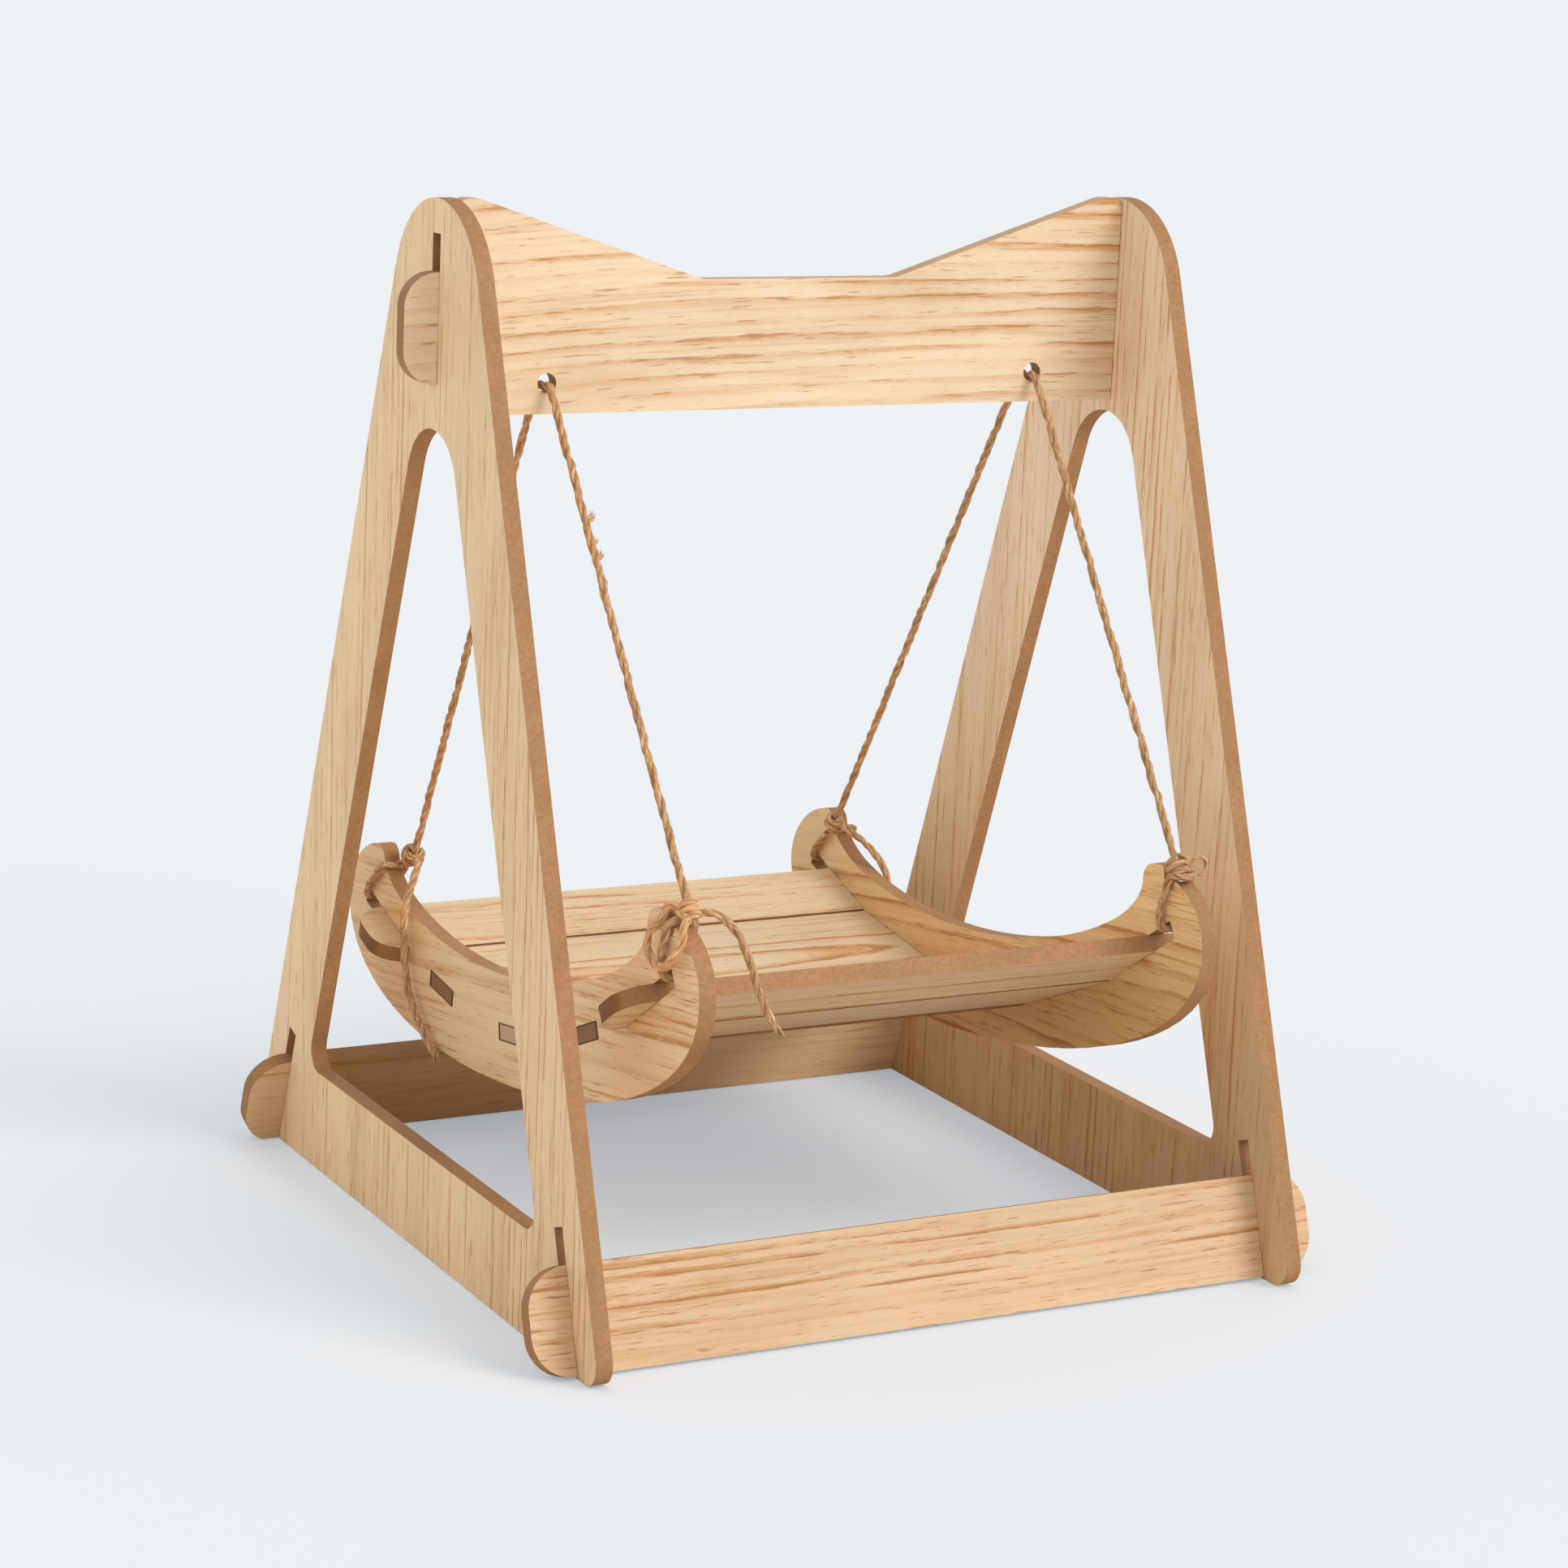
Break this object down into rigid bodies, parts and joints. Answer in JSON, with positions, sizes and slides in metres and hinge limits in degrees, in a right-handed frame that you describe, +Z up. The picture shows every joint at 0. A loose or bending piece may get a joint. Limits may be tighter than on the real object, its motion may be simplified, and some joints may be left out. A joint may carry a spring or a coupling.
{
  "type": "cat swing bed",
  "caption": "Wooden A-frame stand of hooked boards with a slatted, crescent-ended cat cradle that swings from its crossbeam on jute ropes.",
  "frame": {"origin": "On the floor, under the middle of the box round the boards.", "axes": "+X to the object's right, seen from the front; +Y from the front to the back; +Z up. The raised side of the cradle is the front."},
  "size_m": [0.4946, 0.505, 0.6],
  "materials": {
    "veneered_board": "pale oak veneer on fibreboard, satin lacquer, bare brown edges",
    "cradle_board": "pine veneer on fibreboard, satin lacquer, bare brown edges",
    "jute_rope": "twisted natural jute, dry and slightly hairy"
  },
  "bodies": {
    "frame": {"left_side_panel": "veneered_board", "right_side_panel": "veneered_board", "top_crossbeam": "veneered_board", "front_rail": "veneered_board", "back_rail": "veneered_board"},
    "rope_saddles": {"left_rope_saddle": "jute_rope", "right_rope_saddle": "jute_rope"},
    "left_rope": {"left_front_rope": "jute_rope", "left_back_rope": "jute_rope"},
    "right_rope": {"right_front_rope": "jute_rope", "right_back_rope": "jute_rope"},
    "cradle": {"left_crescent_end": "cradle_board", "right_crescent_end": "cradle_board", "front_hook_slat": "cradle_board", "front_lower_slat": "cradle_board", "bottom_slat": "cradle_board", "back_lower_slat": "cradle_board", "back_hook_slat": "cradle_board", "left_front_knot": "jute_rope", "left_back_knot": "jute_rope", "right_front_knot": "jute_rope", "right_back_knot": "jute_rope", "left_front_lashing": "jute_rope", "left_back_lashing": "jute_rope", "right_front_lashing": "jute_rope", "right_back_lashing": "jute_rope", "left_front_tail": "jute_rope", "left_back_tail": "jute_rope", "right_back_tail": "jute_rope", "left_front_bow": "jute_rope", "right_front_loop": "jute_rope"}
  },
  "joints": [
    {"name": "swing", "type": "hinge", "parent": "frame", "child": "rope_saddles", "pos_m": [0, -0.00554, 0.498], "axis": [1, 0, 0], "range_deg": [-18, 18]},
    {"name": "sway", "type": "hinge", "parent": "rope_saddles", "child": "left_rope", "pos_m": [-0.157, -0.00554, 0.498], "axis": [0, 0.9872, -0.1598], "range_deg": [-6, 6]},
    {"name": "right_rope_sway", "type": "hinge", "parent": "rope_saddles", "child": "right_rope", "pos_m": [0.157, -0.00554, 0.498], "axis": [0, 0.9872, -0.1598], "range_deg": [-6, 6]},
    {"name": "cradle_level", "type": "hinge", "parent": "left_rope", "child": "cradle", "pos_m": [-0.15025, -0.00858, 0.21159], "axis": [0, 0.9872, -0.1598], "range_deg": [-6.3, 6.3]}
  ],
  "couplings": [
    {"joint": "right_rope_sway", "follows": "sway", "ratio": 1},
    {"joint": "cradle_level", "follows": "sway", "ratio": -1.045}
  ]
}
